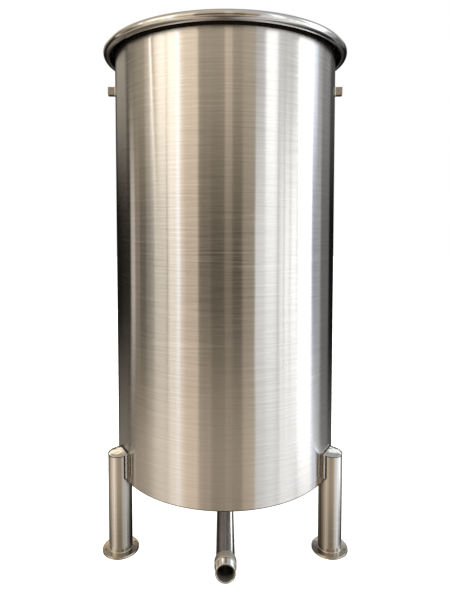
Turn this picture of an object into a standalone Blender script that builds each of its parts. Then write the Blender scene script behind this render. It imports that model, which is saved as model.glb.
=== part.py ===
"""Open-topped storage tank: a round shell with a curled rim, three tube legs and a bottom outlet.

The tank's axis is the Z axis and the floor is z = 0. The outlet points to the front, along -Y.
Lengths are in metres.
"""
import math

import bmesh
import bpy
from mathutils import Matrix, Vector

# Clearances and facets
GAP = 0.0003
TANK_STEPS = 72
LEG_STEPS = 40
PIPE_STEPS = 32

# Shell, rim and bottom
SHEET = 0.002
SHELL_RADIUS = 0.350
SHELL_BOTTOM = 0.214
SHELL_TOP = 1.500
RIM_TOP = 1.520
RIM_RADIUS = 0.385
BEAD_RADIUS = 0.0135
NECK_BEND_RADIUS = 0.008
CURL_END_ANGLE = math.radians(-112.5)
BOTTOM_SLOPE = math.radians(10)

# Legs and feet
LEG_AXIS_RADIUS = 0.3643
LEG_RADIUS = 0.035
LEG_WALL = 0.002
LEG_AZIMUTHS = {"left": math.radians(210), "right": math.radians(-30), "rear": math.radians(90)}
CAP_THICKNESS = 0.003
CAP_HIGH = 0.304
CAP_DROP = 0.005
FOOT_RADIUS = 0.054
FOOT_THICKNESS = 0.008
BOLT_CIRCLE_RADIUS = 0.0445
BOLT_HOLE_RADIUS = 0.0035
BOLT_HOLES = 4
BOLT_TURNS = {"left": math.radians(-5), "right": math.radians(5), "rear": 0.0}
WELD_RADIUS = 0.005
WELD_STANDOFF = 0.0015

# Lugs near the top
LUG_SIZE = 0.025
LUG_REACH = 0.374
LUG_HEIGHT = 1.400
LUG_FROM_FRONT = math.radians(84)

# Outlet
PIPE_RADIUS = 0.0255
PIPE_WALL = 0.0015
PIPE_HEIGHT = 0.092
ELBOW_RADIUS = 0.051
COLLAR_RADIUS = 0.0295
COLLAR_BACK = 0.370
COLLAR_FRONT = 0.394
NIPPLE_RADIUS = 0.027
NIPPLE_BORE_RADIUS = 0.023
OUTLET_REACH = LEG_AXIS_RADIUS + FOOT_RADIUS


def clear_scene():
    """Remove every object, so that the script can run again in an open file."""
    for obj in list(bpy.data.objects):
        bpy.data.objects.remove(obj, do_unlink=True)


def new_collection(name):
    """Return a collection that is linked to the scene."""
    collection = bpy.data.collections.new(name)
    bpy.context.scene.collection.children.link(collection)
    return collection


def steel(name, colour, roughness):
    """Return a metal material."""
    material = bpy.data.materials.new(name)
    material.use_nodes = True
    shader = material.node_tree.nodes["Principled BSDF"]
    shader.inputs["Base Color"].default_value = (*colour, 1.0)
    shader.inputs["Metallic"].default_value = 1.0
    shader.inputs["Roughness"].default_value = roughness
    return material


def add_object(name, mesh, material, collection):
    """Link a mesh to a collection as an object, shaded smooth except at sharp corners."""
    mesh.materials.append(material)
    mesh.shade_smooth()
    mesh.set_sharp_from_angle(angle=math.radians(35))
    obj = bpy.data.objects.new(name, mesh)
    collection.objects.link(obj)
    return obj


def mesh_from(name, bm):
    """Turn a bmesh into a mesh."""
    mesh = bpy.data.meshes.new(name)
    bm.to_mesh(mesh)
    bm.free()
    return mesh


def turned(name, outline, steps, material, collection):
    """Spin a closed outline of (radius, height) points, which runs down its outer side."""
    mesh = bpy.data.meshes.new(name)
    count = len(outline)
    edges = [(i, (i + 1) % count) for i in range(count)]
    mesh.from_pydata([(radius, 0, height) for radius, height in outline], edges, [])
    obj = add_object(name, mesh, material, collection)
    spin = obj.modifiers.new("spin", "SCREW")
    spin.axis = "Z"
    spin.steps = steps
    spin.render_steps = steps
    spin.use_merge_vertices = True
    spin.merge_threshold = 0.00001
    spin.use_smooth_shade = True
    return obj


def ring(name, outer, inner, low, high, steps, material, collection):
    """A plain upright tube or ring."""
    outline = [(outer, high), (outer, low), (inner, low), (inner, high)]
    return turned(name, outline, steps, material, collection)


def cylinder(name, radius, low, high, steps, material, collection):
    """A solid upright cylinder with a corner on the +X side."""
    bm = bmesh.new()
    bmesh.ops.create_cone(bm, cap_ends=True, segments=steps, radius1=radius, radius2=radius,
                          depth=high - low, matrix=Matrix.Translation((0, 0, (low + high) / 2)))
    bmesh.ops.rotate(bm, verts=bm.verts, matrix=Matrix.Rotation(math.pi / 2, 3, "Z"))
    return add_object(name, mesh_from(name, bm), material, collection)


def box(name, size, centre, material, collection):
    """A box with the given centre."""
    bm = bmesh.new()
    place = Matrix.Translation(centre) @ Matrix.Diagonal((*size, 1))
    bmesh.ops.create_cube(bm, size=1, matrix=place)
    return add_object(name, mesh_from(name, bm), material, collection)


def cut(obj, cutter):
    """Take the cutter's shape out of an object."""
    cutter.hide_render = True
    cutter.display_type = "WIRE"
    modifier = obj.modifiers.new("cut " + cutter.name, "BOOLEAN")
    modifier.operation = "DIFFERENCE"
    modifier.object = cutter


def polar(radius, azimuth, height=0.0):
    """A point at a distance from the tank's axis, its azimuth counted from +X."""
    return Vector((radius * math.cos(azimuth), radius * math.sin(azimuth), height))


def arc(centre, radius, start, end, steps):
    """Points along an arc of a (radius, height) outline."""
    points = []
    for i in range(steps + 1):
        angle = start + (end - start) * i / steps
        points.append((centre[0] + radius * math.cos(angle), centre[1] + radius * math.sin(angle)))
    return points


def make_shell(material, collection):
    """The straight round wall."""
    ring("tank_shell", SHELL_RADIUS, SHELL_RADIUS - SHEET, SHELL_BOTTOM, SHELL_TOP, TANK_STEPS,
         material, collection)


def rim_face(side_offset):
    """One face of the rim's sheet: up the wall, out over a flat land, and round the curl."""
    bend_centre = (SHELL_RADIUS + NECK_BEND_RADIUS, RIM_TOP - SHEET - NECK_BEND_RADIUS)
    curl_centre = (RIM_RADIUS - BEAD_RADIUS, RIM_TOP - BEAD_RADIUS)
    bend = arc(bend_centre, NECK_BEND_RADIUS + side_offset, math.pi, math.pi / 2, 3)
    curl = arc(curl_centre, BEAD_RADIUS - SHEET + side_offset, math.pi / 2, CURL_END_ANGLE, 9)
    wall_foot = (SHELL_RADIUS - side_offset, SHELL_TOP + GAP)
    return [wall_foot] + bend + curl


def make_rim(material, collection):
    """The wall's top, turned outwards into a flat land and curled down into an open bead."""
    outline = rim_face(SHEET) + rim_face(0.0)[::-1]
    turned("tank_rim", outline, TANK_STEPS, material, collection)


def bottom_height(radius):
    """Height of the conical bottom's underside at a distance from the axis."""
    edge = SHELL_RADIUS - SHEET - GAP
    return SHELL_BOTTOM - (edge - radius) * math.tan(BOTTOM_SLOPE)


def make_bottom(material, collection):
    """The shallow cone inside the shell's lower edge, with a hole for the outlet's neck."""
    edge = SHELL_RADIUS - SHEET - GAP
    hole = PIPE_RADIUS + GAP
    rise = SHEET / math.cos(BOTTOM_SLOPE)
    outline = [(edge, bottom_height(edge) + rise), (edge, bottom_height(edge)),
               (hole, bottom_height(hole)), (hole, bottom_height(hole) + rise)]
    turned("tank_bottom", outline, TANK_STEPS, material, collection)


def tank_cutter(material, collection):
    """The tank's outer shape with a little clearance, which copes the legs, caps, welds and lugs."""
    reach = SHELL_RADIUS + GAP
    low = bottom_height(reach) - 3 * GAP
    outline = [(0, RIM_TOP), (reach, RIM_TOP), (reach, low), (0, bottom_height(0) - 3 * GAP)]
    return turned("cutter_tank", outline, TANK_STEPS, material, collection)


def cap_height(offset):
    """Height of a leg's sloping cap at a distance outwards from the leg's own axis."""
    slope = CAP_DROP / (2 * LEG_RADIUS)
    return CAP_HIGH - slope * (offset + LEG_RADIUS)


def slope_top(obj, above, shift):
    """Lay an object's upper corners on the cap's sloping plane, moved by a shift."""
    for vertex in obj.data.vertices:
        if vertex.co.z > above:
            vertex.co.z = cap_height(vertex.co.x) + shift


def place_on_leg(obj, azimuth):
    """Stand an object on a leg's axis, with its own +X side outwards."""
    obj.location = polar(LEG_AXIS_RADIUS, azimuth)
    obj.rotation_euler.z = azimuth


def make_leg_tube(name, azimuth, tank, material, collection):
    """A tube that stands on the foot and is coped round the shell at its top."""
    low = FOOT_THICKNESS + GAP
    bm = bmesh.new()
    for radius in (LEG_RADIUS, LEG_RADIUS - LEG_WALL):
        bmesh.ops.create_circle(bm, segments=LEG_STEPS, radius=radius)
    bmesh.ops.rotate(bm, verts=bm.verts, matrix=Matrix.Rotation(math.pi / 2, 3, "Z"))
    faces = bmesh.ops.bridge_loops(bm, edges=bm.edges)["faces"]
    lifted = bmesh.ops.extrude_face_region(bm, geom=faces)["geom"]
    top = [item for item in lifted if isinstance(item, bmesh.types.BMVert)]
    bmesh.ops.translate(bm, verts=top, vec=(0, 0, CAP_HIGH))
    bmesh.ops.translate(bm, verts=bm.verts, vec=(0, 0, low))
    bmesh.ops.recalc_face_normals(bm, faces=bm.faces)
    obj = add_object(name, mesh_from(name, bm), material, collection)
    slope_top(obj, low + GAP, -CAP_THICKNESS - GAP)
    place_on_leg(obj, azimuth)
    cut(obj, tank)


def make_leg_cap(name, azimuth, tank, material, collection):
    """The plate that closes the coped tube's top, sloping down away from the shell."""
    middle = CAP_HIGH - CAP_DROP / 2
    obj = cylinder(name, LEG_RADIUS, middle - CAP_THICKNESS, middle, LEG_STEPS, material, collection)
    for vertex in obj.data.vertices:
        vertex.co.z += cap_height(vertex.co.x) - middle
    place_on_leg(obj, azimuth)
    cut(obj, tank)


def make_foot(side, azimuth, cutters, material, collection):
    """A round flat foot with bolt holes."""
    foot = cylinder("foot_flange_" + side, FOOT_RADIUS, 0, FOOT_THICKNESS, 48, material, collection)
    place_on_leg(foot, azimuth)
    centre = polar(LEG_AXIS_RADIUS, azimuth)
    for index in range(BOLT_HOLES):
        name = "cutter_bolt_%s_%d" % (side, index)
        drill = cylinder(name, BOLT_HOLE_RADIUS, -FOOT_THICKNESS, 2 * FOOT_THICKNESS, 12, material,
                         cutters)
        turn = BOLT_TURNS[side] + index * 2 * math.pi / BOLT_HOLES
        drill.location = centre + polar(BOLT_CIRCLE_RADIUS, azimuth + turn)
        cut(foot, drill)


def make_leg_weld(name, azimuth, turn, cutter_pair, material, collection):
    """A bead in the corner between a leg and the shell, from the shell's edge to the cap."""
    squares = SHELL_RADIUS ** 2 + LEG_AXIS_RADIUS ** 2 - LEG_RADIUS ** 2
    corner_turn = math.acos(squares / (2 * SHELL_RADIUS * LEG_AXIS_RADIUS))
    corner = polar(SHELL_RADIUS, azimuth + turn * corner_turn)
    sideways = polar(1, azimuth + turn * math.pi / 2)
    outwards = polar(1, azimuth)
    obj = cylinder(name, WELD_RADIUS, SHELL_BOTTOM, cap_height(-LEG_RADIUS / 2), 12, material,
                   collection)
    obj.location = corner + WELD_STANDOFF * (sideways + outwards)
    for cutter in cutter_pair:
        cut(obj, cutter)


def make_leg(side, azimuth, tank, looks, cutters, collection):
    """One leg with its cap, foot and two weld beads."""
    make_leg_tube("leg_tube_" + side, azimuth, tank, looks["polished"], collection)
    make_leg_cap("leg_cap_" + side, azimuth, tank, looks["mirror"], collection)
    make_foot(side, azimuth, cutters, looks["satin"], collection)
    post = cylinder("cutter_leg_" + side, LEG_RADIUS + GAP, 0, RIM_TOP, LEG_STEPS, looks["satin"],
                    cutters)
    place_on_leg(post, azimuth)
    for turn, place in ((-1, "a"), (1, "b")):
        name = "leg_weld_%s_%s" % (side, place)
        make_leg_weld(name, azimuth, turn, (tank, post), looks["weld"], collection)


def make_lug(side, sign, tank, material, collection):
    """A short square bar that stands out from the shell."""
    azimuth = -math.pi / 2 + sign * LUG_FROM_FRONT
    root = SHELL_RADIUS - LUG_SIZE / 2
    size = (LUG_REACH - root, LUG_SIZE, LUG_SIZE)
    centre = ((LUG_REACH + root) / 2, 0, LUG_HEIGHT)
    obj = box("lug_" + side, size, centre, material, collection)
    obj.rotation_euler.z = azimuth
    cut(obj, tank)


def lay_forward(obj):
    """Lay an upright turned piece along the outlet's axis, its low end at the back."""
    obj.location = (0, 0, PIPE_HEIGHT)
    obj.rotation_euler.x = math.pi / 2


def make_elbow(material, collection):
    """The bend from the bottom's centre to the front, a circle swept through a right angle."""
    bm = bmesh.new()
    bmesh.ops.create_circle(bm, segments=PIPE_STEPS, radius=PIPE_RADIUS)
    bmesh.ops.rotate(bm, verts=bm.verts, matrix=Matrix.Rotation(math.pi / 2, 3, "X"))
    bmesh.ops.translate(bm, verts=bm.verts, vec=(ELBOW_RADIUS, 0, 0))
    obj = add_object("drain_elbow", mesh_from("drain_elbow", bm), material, collection)
    spin = obj.modifiers.new("spin", "SCREW")
    spin.axis = "Z"
    spin.angle = math.pi / 2
    spin.steps = 6
    spin.render_steps = 6
    spin.use_merge_vertices = False
    spin.use_smooth_shade = True
    wall = obj.modifiers.new("wall", "SOLIDIFY")
    wall.thickness = PIPE_WALL
    wall.offset = -1
    obj.location = (0, -ELBOW_RADIUS, PIPE_HEIGHT + ELBOW_RADIUS)
    obj.rotation_euler = (0, math.pi / 2, 0)
    return obj


def make_outlet(looks, collection):
    """Neck, elbow and pipe under the tank, and the collar and nipple at the front."""
    bore = PIPE_RADIUS - PIPE_WALL
    neck_low = PIPE_HEIGHT + ELBOW_RADIUS + GAP
    neck_high = bottom_height(PIPE_RADIUS) + SHEET
    ring("drain_neck", PIPE_RADIUS, bore, neck_low, neck_high, PIPE_STEPS, looks["polished"], collection)
    make_elbow(looks["polished"], collection)
    pipe = ring("drain_pipe", PIPE_RADIUS, bore, ELBOW_RADIUS + GAP, COLLAR_FRONT, PIPE_STEPS,
                looks["polished"], collection)
    lay_forward(pipe)
    collar = ring("outlet_collar", COLLAR_RADIUS, PIPE_RADIUS + GAP, COLLAR_BACK, COLLAR_FRONT,
                  PIPE_STEPS, looks["satin"], collection)
    lay_forward(collar)
    nipple = ring("outlet_nipple", NIPPLE_RADIUS, NIPPLE_BORE_RADIUS, COLLAR_FRONT + GAP,
                  OUTLET_REACH, PIPE_STEPS, looks["polished"], collection)
    lay_forward(nipple)


def build():
    """Model the whole tank."""
    clear_scene()
    looks = {
        "brushed": steel("brushed_shell_steel", (0.36, 0.29, 0.22), 0.35),
        "polished": steel("polished_tube_steel", (0.45, 0.40, 0.34), 0.15),
        "mirror": steel("mirror_cap_steel", (0.70, 0.66, 0.60), 0.05),
        "satin": steel("satin_steel", (0.33, 0.29, 0.24), 0.40),
        "weld": steel("weld_steel", (0.40, 0.36, 0.31), 0.30),
    }
    tank_parts = new_collection("storage_tank")
    cutters = new_collection("cutters")
    tank = tank_cutter(looks["satin"], cutters)
    make_shell(looks["brushed"], tank_parts)
    make_rim(looks["polished"], tank_parts)
    make_bottom(looks["brushed"], tank_parts)
    for side, azimuth in LEG_AZIMUTHS.items():
        make_leg(side, azimuth, tank, looks, cutters, tank_parts)
    for side, sign in (("left", -1), ("right", 1)):
        make_lug(side, sign, tank, looks["satin"], tank_parts)
    make_outlet(looks, tank_parts)


build()
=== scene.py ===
"""The looks of an open-topped stainless storage tank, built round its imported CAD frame.

The tank's axis is the Z axis, the floor is z = 0 and the outlet points to the front, along -Y.
Lengths are in metres.
"""
import math

import bmesh
import bpy
from mathutils import Matrix, Vector


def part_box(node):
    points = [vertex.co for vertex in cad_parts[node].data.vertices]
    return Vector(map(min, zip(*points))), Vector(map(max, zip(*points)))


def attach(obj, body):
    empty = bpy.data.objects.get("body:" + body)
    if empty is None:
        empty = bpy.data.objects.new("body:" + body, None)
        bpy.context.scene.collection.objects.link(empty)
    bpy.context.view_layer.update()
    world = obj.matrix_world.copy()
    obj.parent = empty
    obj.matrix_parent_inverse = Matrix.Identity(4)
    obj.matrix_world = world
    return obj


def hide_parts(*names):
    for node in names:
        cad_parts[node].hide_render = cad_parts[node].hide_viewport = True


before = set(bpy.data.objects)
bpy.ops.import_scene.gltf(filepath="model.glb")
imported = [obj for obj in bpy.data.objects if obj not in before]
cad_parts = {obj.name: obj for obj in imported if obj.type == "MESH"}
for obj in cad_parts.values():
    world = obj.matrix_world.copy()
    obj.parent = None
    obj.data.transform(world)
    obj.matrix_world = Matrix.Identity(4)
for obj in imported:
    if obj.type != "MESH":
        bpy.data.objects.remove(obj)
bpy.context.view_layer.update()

# Sizes read from the frame
shell_low, shell_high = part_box("tank_shell")
rim_low, rim_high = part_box("tank_rim")
foot_low, foot_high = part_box("foot_flange_rear")
leg_low, leg_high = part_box("leg_tube_rear")
lug_low, lug_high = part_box("lug_right")
neck_low, neck_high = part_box("drain_neck")
pipe_low, pipe_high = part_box("drain_pipe")
collar_low, collar_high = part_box("outlet_collar")
nipple_low, nipple_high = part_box("outlet_nipple")

# Gap between pieces that touch
GAP = 0.0003
SHEET = 0.002
SHELL_RADIUS = shell_high.x
SHELL_BOTTOM = shell_low.z
RIM_RADIUS = rim_high.x
RIM_TOP = rim_high.z
BEAD_RADIUS = (rim_high.z - rim_low.z) / 2
WALL_BEND_RADIUS = 0.008
BOTTOM_SLOPE = math.radians(10)
LEG_RADIUS = (leg_high.x - leg_low.x) / 2
LEG_WALL = 0.002
LEG_AXIS_RADIUS = (foot_low.y + foot_high.y) / 2
LEG_AZIMUTHS = {"left": math.radians(210), "right": math.radians(-30), "rear": math.radians(90)}
CAP_THICKNESS = 0.003
CAP_HIGH = 0.304
CAP_DROP = 0.005
# Radius of the weld bead on each cap
CAP_BEADS = {"left": 0.0014, "right": 0.0031, "rear": 0.0022}
FOOT_RADIUS = (foot_high.x - foot_low.x) / 2
FOOT_THICKNESS = foot_high.z
BOLT_CIRCLE_RADIUS = 0.0445
BOLT_HOLE_RADIUS = 0.0035
BOLT_HOLES = 4
BOLT_TURNS = {"left": math.radians(-5), "right": math.radians(5), "rear": 0.0}
LUG_SIZE = lug_high.z - lug_low.z
LUG_HEIGHT = (lug_high.z + lug_low.z) / 2
LUG_REACH = 0.374
LUG_EASE = 0.0008
LUG_WELD_REACH = SHELL_RADIUS + 0.003
LUG_WELD_SIZE = LUG_SIZE + 0.004
LUG_WELD_EASE = 0.0018
LUG_FROM_FRONT = math.radians(84)
PIPE_RADIUS = pipe_high.x
PIPE_WALL = 0.0015
PIPE_HEIGHT = (pipe_low.z + pipe_high.z) / 2
ELBOW_RADIUS = 0.051
COLLAR_RADIUS = collar_high.x
COLLAR_EASE = 0.0012
NIPPLE_RADIUS = nipple_high.x
NIPPLE_WALL = 0.004
NIPPLE_EASE = 0.0008

# Facets: fine enough for smooth outlines in a close view
TANK_STEPS = 256
LEG_STEPS = 96
PIPE_STEPS = 72
ELBOW_STEPS = 24
HOLE_STEPS = 24

# Camera, as fitted to the photograph's outlines
PHOTO_WIDTH = 450
PHOTO_HEIGHT = 600
FOCAL_PIXELS = 498.0
HORIZON_CENTRE = (223.0, 243.2)
CAMERA_PLACE = (-0.0052, -1.645, 0.992)
CAMERA_PITCH = 0.0473
SENSOR = 36.0

# Distances from the tank's axis between which a tube's painted shade fades out. The pipe has none.
LEG_PAINTED_SHADE_REACH = (0.345, 0.392)
NO_PAINTED_SHADE_REACH = (-0.02, -0.01)

# For Map Range nodes: the span that noise mostly stays in, and a soft change-over
NOISE_SPAN = {"From Min": 0.25, "From Max": 0.75}
SMOOTH = {"interpolation_type": "SMOOTHSTEP"}


def linear(hex_colour):
    """Turn an sRGB hex colour into linear RGBA."""
    channels = [int(hex_colour[i:i + 2], 16) / 255 for i in (1, 3, 5)]
    bent = [c / 12.92 if c <= 0.04045 else ((c + 0.055) / 1.055) ** 2.4 for c in channels]
    return (*bent, 1.0)


def add_node(tree, kind, settings=None, inputs=None):
    """Add a shader node, give it its settings, and set or link its inputs."""
    node = tree.nodes.new("ShaderNode" + kind)
    for key, value in (settings or {}).items():
        setattr(node, key, value)
    for key, value in (inputs or {}).items():
        if isinstance(value, bpy.types.NodeSocket):
            tree.links.new(value, node.inputs[key])
        else:
            node.inputs[key].default_value = value
    return node


def new_material(name):
    """A material with an empty node tree."""
    material = bpy.data.materials.new(name)
    material.use_nodes = True
    material.node_tree.nodes.clear()
    return material


def patterned_material(name):
    """A new material, its node tree, and the piece's own coordinates to lay patterns on."""
    material = new_material(name)
    tree = material.node_tree
    return material, tree, add_node(tree, "TexCoord").outputs["Object"]


def stretched_noise(tree, place, lengths, detail, roughness=0.5, turned=(0, 0, 0)):
    """Noise with marks of the given lengths along X, Y and Z."""
    spaced = add_node(tree, "Mapping", None,
                      {"Vector": place, "Rotation": turned, "Scale": [1 / length for length in lengths]})
    noise = add_node(tree, "TexNoise", None,
                     {"Vector": spaced.outputs["Vector"], "Scale": 1.0, "Detail": detail,
                      "Roughness": roughness})
    return noise.outputs["Fac"]


def axis_distance(tree, place):
    """How far the places on a piece are from the tank's axis."""
    level = add_node(tree, "VectorMath", {"operation": "MULTIPLY"}, {0: place, 1: (1, 1, 0)})
    return add_node(tree, "VectorMath", {"operation": "LENGTH"}, {0: level.outputs[0]}).outputs["Value"]


def finish_material(material, inputs):
    """Add the surface shader and the output to a material."""
    tree = material.node_tree
    shader = add_node(tree, "BsdfPrincipled", None, inputs)
    add_node(tree, "OutputMaterial", None, {"Surface": shader.outputs["BSDF"]})
    return material


def brushed_sheet(name, metallic):
    """Stainless sheet, brushed round the tank: its glints are drawn out upwards and downwards.

    A value under 1 for metallic gives it a thin pale haze, as pickling leaves.
    """
    material, tree, place = patterned_material(name)
    # Brush marks are about 0.1 mm apart. They are drawn in groups 5 mm high, with marks down to
    # 0.6 mm, so that they show.
    marks = stretched_noise(tree, place, (0.16, 0.16, 0.005), 3.0, 0.75)
    # Single scratches of the polishing belt: some 2 mm apart, a few degrees off level, in patches.
    scratches = stretched_noise(tree, place, (0.18, 0.18, 0.002), 1.0, turned=(0.02, -0.05, 0))
    patches = stretched_noise(tree, place, (0.25, 0.25, 0.07), 1.0)
    deep = add_node(tree, "MapRange", None, {"Value": scratches, "From Min": 0.58, "From Max": 0.76})
    patchy = add_node(tree, "MapRange", None,
                      {"Value": patches, "From Min": 0.46, "From Max": 0.66, "To Min": 0.05})
    scratched = add_node(tree, "Math", {"operation": "MULTIPLY"},
                         {0: deep.outputs["Result"], 1: patchy.outputs["Result"]})
    # The sheet's own waves are some 260 mm long round the tank, and 420 mm up it.
    waves = stretched_noise(tree, place, (0.26, 0.26, 0.42), 1.0)
    waved = add_node(tree, "Bump", None, {"Strength": 1.0, "Distance": 0.0012, "Height": waves})
    marked = add_node(tree, "Bump", None,
                      {"Strength": 0.12, "Distance": 0.0002, "Height": marks,
                       "Normal": waved.outputs["Normal"]})
    dull = add_node(tree, "MapRange", None,
                    {"Value": marks, "From Min": 0.3, "From Max": 0.7, "To Min": 0.165, "To Max": 0.195})
    scratch_dullness = 0.065
    duller = add_node(tree, "Math", {"operation": "MULTIPLY_ADD"},
                      {0: scratched.outputs[0], 1: scratch_dullness, 2: dull.outputs["Result"]})
    steel = add_node(tree, "Mix", {"data_type": "RGBA"},
                     {0: marks, 6: linear("#d0cdca"), 7: linear("#fcfbfa")})
    bright = add_node(tree, "Mix", {"data_type": "RGBA"},
                      {0: scratched.outputs[0], 6: steel.outputs[2], 7: linear("#f8f7f5")})
    tangent = add_node(tree, "Tangent", {"direction_type": "RADIAL", "axis": "Z"})
    return finish_material(material, {
        "Base Color": bright.outputs[2], "Metallic": metallic, "Anisotropic": 1.0,
        "Anisotropic Rotation": 0.25, "Roughness": duller.outputs[0],
        "Tangent": tangent.outputs["Tangent"], "Normal": marked.outputs["Normal"]})


def polished_tube(name, axis, painted_shade_reach, roughness):
    """Polished stainless tube: its fine marks run round its axis and draw its glints out along it."""
    material, tree, place = patterned_material(name)
    # Polishing marks under 0.1 mm apart, drawn 1.5 mm apart and 40 mm long.
    marks = stretched_noise(tree, place, [0.0015 if share else 0.04 for share in axis], 2.0)
    dull = add_node(tree, "MapRange", None,
                    {"Value": marks, **NOISE_SPAN, "To Min": roughness - 0.02, "To Max": roughness + 0.03})
    steel = add_node(tree, "Mix", {"data_type": "RGBA"},
                     {0: marks, 6: linear("#cbc8c4"), 7: linear("#e4e2df")})
    # Painted shade: towards the tank's axis the colour darkens, for the shaded floor under the tank
    # mirrored there.
    clear = add_node(tree, "MapRange", None,
                     {"Value": axis_distance(tree, place), "From Min": painted_shade_reach[0],
                      "From Max": painted_shade_reach[1]})
    shaded = add_node(tree, "Mix", {"data_type": "RGBA"},
                      {0: clear.outputs["Result"], 6: linear("#8f877d"), 7: steel.outputs[2]})
    facing = add_node(tree, "NewGeometry").outputs["Normal"]
    tangent = add_node(tree, "VectorMath", {"operation": "CROSS_PRODUCT"}, {0: axis, 1: facing})
    return finish_material(material, {
        "Base Color": shaded.outputs[2], "Metallic": 1.0, "Anisotropic": 1.0,
        "Anisotropic Rotation": 0.25, "Roughness": dull.outputs["Result"],
        "Tangent": tangent.outputs[0]})


def outlet_steel(name, colour, roughness, taper):
    """Steel of the outlet's end, a faint taper to its mouth told by a forward tilt of its normals."""
    material, tree, place = patterned_material(name)
    facing = add_node(tree, "NewGeometry").outputs["Normal"]
    from_axis = add_node(tree, "VectorMath", {"operation": "MULTIPLY_ADD"},
                         {0: place, 1: (1, 0, 1), 2: (0, 0, -PIPE_HEIGHT)})
    outward = add_node(tree, "VectorMath", {"operation": "DOT_PRODUCT"},
                       {0: facing, 1: from_axis.outputs[0]})
    outside = add_node(tree, "MapRange", None,
                       {"Value": outward.outputs["Value"], "From Min": -0.01, "From Max": 0.01})
    tilt = add_node(tree, "Math", {"operation": "MULTIPLY"}, {0: outside.outputs["Result"], 1: taper})
    forward = add_node(tree, "VectorMath", {"operation": "SCALE"},
                       {0: (0, -1, 0), "Scale": tilt.outputs[0]})
    tilted = add_node(tree, "VectorMath", {"operation": "ADD"}, {0: facing, 1: forward.outputs[0]})
    normal = add_node(tree, "VectorMath", {"operation": "NORMALIZE"}, {0: tilted.outputs[0]})
    # The bore has a thin grey deposit, which is not metal and looks the same from all sides.
    bare = add_node(tree, "MapRange", None,
                    {"Value": outside.outputs["Result"], "From Max": 0.5, "To Min": 0.86})
    return finish_material(material, {
        "Base Color": linear(colour), "Metallic": bare.outputs["Result"], "Roughness": roughness,
        "Normal": normal.outputs[0]})


def polished_bend():
    """Polished stainless bend: nearly a mirror, a little cloudy."""
    material, tree, place = patterned_material("polished_stainless_bend")
    # Polishing clouds about 15 mm across.
    clouds = add_node(tree, "TexNoise", None, {"Vector": place, "Scale": 1 / 0.015, "Detail": 2.0})
    dull = add_node(tree, "MapRange", None,
                    {"Value": clouds.outputs["Fac"], **NOISE_SPAN, "To Min": 0.10, "To Max": 0.17})
    return finish_material(material, {
        "Base Color": linear("#e6e4e1"), "Metallic": 1.0, "Roughness": dull.outputs["Result"]})


def polished_rim():
    """Polished stainless rim: marks run round the tank, along the rolled bead."""
    material, tree, place = patterned_material("polished_stainless_rim")
    # Polishing marks under 0.1 mm apart, drawn 1.2 mm apart and 80 mm long.
    marks = stretched_noise(tree, place, (0.08, 0.08, 0.0012), 2.0)
    dull = add_node(tree, "MapRange", None,
                    {"Value": marks, **NOISE_SPAN, "To Min": 0.10, "To Max": 0.20})
    # The inside of the curl is painted dark: painted shade in the channel under the bead.
    axes = add_node(tree, "SeparateXYZ", None, {0: place})
    out = add_node(tree, "Math", {"operation": "SUBTRACT"},
                   {0: axis_distance(tree, place), 1: RIM_RADIUS - BEAD_RADIUS})
    up = add_node(tree, "Math", {"operation": "SUBTRACT"},
                  {0: axes.outputs["Z"], 1: RIM_TOP - BEAD_RADIUS})
    offset = add_node(tree, "CombineXYZ", None, {0: out.outputs[0], 1: up.outputs[0]})
    depth = add_node(tree, "VectorMath", {"operation": "LENGTH"}, {0: offset.outputs[0]})
    inner_face = BEAD_RADIUS - SHEET
    outside = add_node(tree, "MapRange", None,
                       {"Value": depth.outputs["Value"], "From Min": inner_face + 0.00005,
                        "From Max": inner_face + 0.00025})
    steel = add_node(tree, "Mix", {"data_type": "RGBA"},
                     {0: outside.outputs["Result"], 6: linear("#2b2723"), 7: linear("#e8e6e3")})
    tangent = add_node(tree, "Tangent", {"direction_type": "RADIAL", "axis": "Z"})
    return finish_material(material, {
        "Base Color": steel.outputs[2], "Metallic": 1.0, "Anisotropic": 0.5,
        "Anisotropic Rotation": 0.25, "Roughness": dull.outputs["Result"],
        "Tangent": tangent.outputs["Tangent"]})


def mirror_plate():
    """Mirror polished stainless plate."""
    material, tree, place = patterned_material("mirror_stainless_plate")
    # Buffing clouds about 20 mm across.
    clouds = add_node(tree, "TexNoise", None,
                      {"Vector": place, "Scale": 1 / 0.02, "Detail": 0.0}).outputs["Fac"]
    dull = add_node(tree, "MapRange", None,
                    {"Value": clouds, **NOISE_SPAN, "To Min": 0.04, "To Max": 0.09})
    # The plate's own waves are as large as its clouds. Its rounded edge has none.
    axes = add_node(tree, "SeparateXYZ", None, {0: add_node(tree, "NewGeometry").outputs["Normal"]})
    level = add_node(tree, "MapRange", None,
                     {"Value": axes.outputs["Z"], "From Min": 0.96, "From Max": 0.99})
    waved = add_node(tree, "Bump", None,
                     {"Strength": level.outputs["Result"], "Distance": 0.0009, "Height": clouds})
    return finish_material(material, {
        "Base Color": linear("#f0efed"), "Metallic": 1.0, "Roughness": dull.outputs["Result"],
        "Normal": waved.outputs["Normal"]})


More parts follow.
